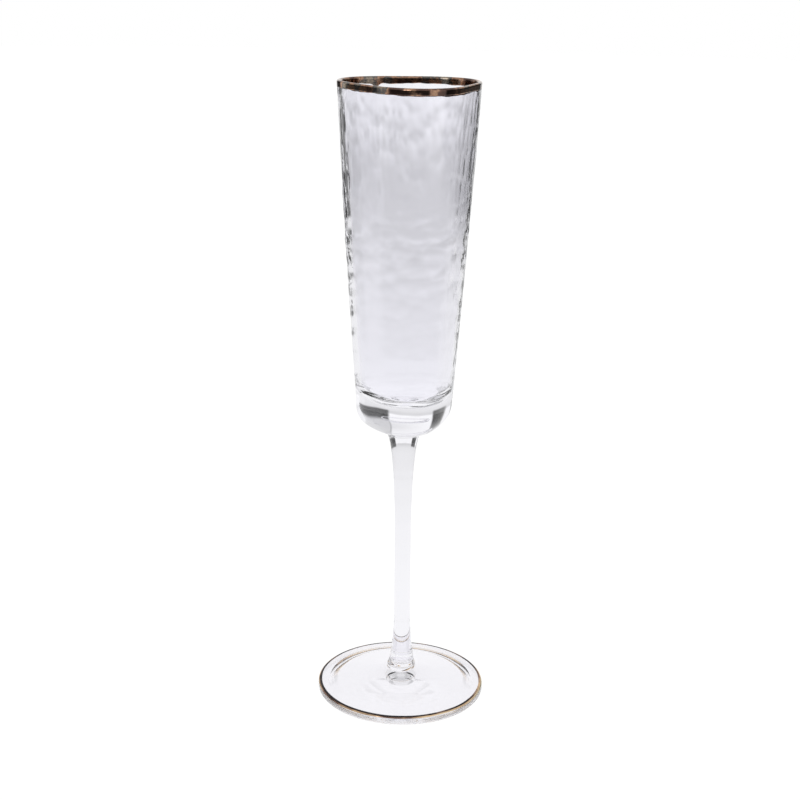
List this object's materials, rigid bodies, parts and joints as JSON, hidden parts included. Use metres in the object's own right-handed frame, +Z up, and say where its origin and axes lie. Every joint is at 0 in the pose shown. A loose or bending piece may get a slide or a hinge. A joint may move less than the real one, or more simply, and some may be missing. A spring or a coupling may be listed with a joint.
{
  "type": "champagne flute",
  "caption": "Hand-made clear glass flute with a tall three-cornered hammered bowl, slim drawn stem, round domed foot and gilded lip and foot edge.",
  "frame": {"origin": "centre of the foot's underside, on the plane that the glass stands on", "axes": "+Z up along the stem's axis; one corner of the bowl faces -Y"},
  "size_m": [0.07, 0.07, 0.255],
  "materials": {
    "clear_glass": "clear, fire polished, hammered on the bowl",
    "gilding": "fired dark gold lustre, slightly mottled"
  },
  "bodies": {
    "root": {"lip_gilding": "gilding", "bowl": "clear_glass", "stem": "clear_glass", "foot_button": "clear_glass", "foot": "clear_glass", "foot_gilding": "gilding"}
  },
  "joints": []
}
